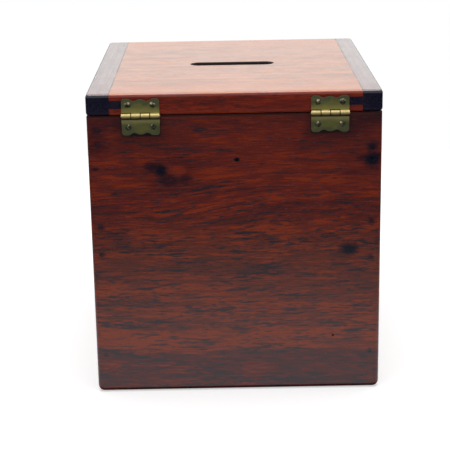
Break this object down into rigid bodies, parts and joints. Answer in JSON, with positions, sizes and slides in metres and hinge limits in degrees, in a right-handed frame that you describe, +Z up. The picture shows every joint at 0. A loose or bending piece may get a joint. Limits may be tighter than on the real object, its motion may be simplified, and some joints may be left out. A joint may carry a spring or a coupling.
{
  "type": "donation box",
  "caption": "Hardwood donation box with a long coin slot in a hinged lid, dark clamped lid ends, scalloped brass surface hinges and a key lock in the front.",
  "frame": {"origin": "middle of the bottom board's underside, level with the lower edges of the walls", "axes": "+X to the right seen from the front, +Y from the front with the keyhole to the back with the hinges, +Z up"},
  "size_m": [0.204, 0.2663, 0.2192],
  "materials": {
    "red_hardwood": "old dark red hardwood with a worn satin varnish",
    "dark_hardwood": "near-black hardwood with a worn satin varnish",
    "bottom_wood": "bare hardwood",
    "nail_iron": "dark oxide",
    "hinge_brass": "aged, dull, rubbed bright on the barrel",
    "screw_brass": "aged",
    "lock_brass": "aged satin",
    "lock_steel": "dull grey, oiled",
    "key_steel": "dark, worn bright on the bow"
  },
  "bodies": {
    "case": {"back_board": "red_hardwood", "front_board": "red_hardwood", "left_side_board": "red_hardwood", "right_side_board": "red_hardwood", "bottom_board": "bottom_wood", "back_nails": "nail_iron", "front_nails": "nail_iron", "left_hinge_case_leaf": "hinge_brass", "right_hinge_case_leaf": "hinge_brass", "left_hinge_pin": "hinge_brass", "right_hinge_pin": "hinge_brass", "case_hinge_screws": "screw_brass", "lock_plate": "lock_brass", "lock_cap": "lock_steel", "lock_pins": "lock_steel", "lock_rivets": "lock_steel", "lock_spring": "lock_steel", "lock_screws": "screw_brass", "escutcheon": "lock_brass", "escutcheon_pins": "screw_brass"},
    "lid": {"lid_panel": "red_hardwood", "lid_end_left": "dark_hardwood", "lid_end_right": "dark_hardwood", "left_hinge_lid_leaf": "hinge_brass", "right_hinge_lid_leaf": "hinge_brass", "lid_hinge_screws": "screw_brass", "strike_plate": "lock_brass", "strike_screws": "screw_brass"},
    "key": {"key": "key_steel"},
    "bolt": {"lock_bolt": "lock_steel"}
  },
  "joints": [
    {"name": "lid_hinge", "type": "hinge", "parent": "case", "child": "lid", "pos_m": [0, 0.1172, 0.2039], "axis": [-1, 0, 0], "range_deg": [0, 180]},
    {"name": "key_turn", "type": "hinge", "parent": "case", "child": "key", "pos_m": [0, -0.1079, 0.1767], "axis": [0, 1, 0], "range_deg": [0, 50]},
    {"name": "bolt_slide", "type": "slide", "parent": "case", "child": "bolt", "axis": [1, 0, 0], "range_m": [0, 0.00536]}
  ],
  "couplings": [
    {"joint": "bolt_slide", "follows": "key_turn", "m_per_rad": 0.0061447}
  ]
}
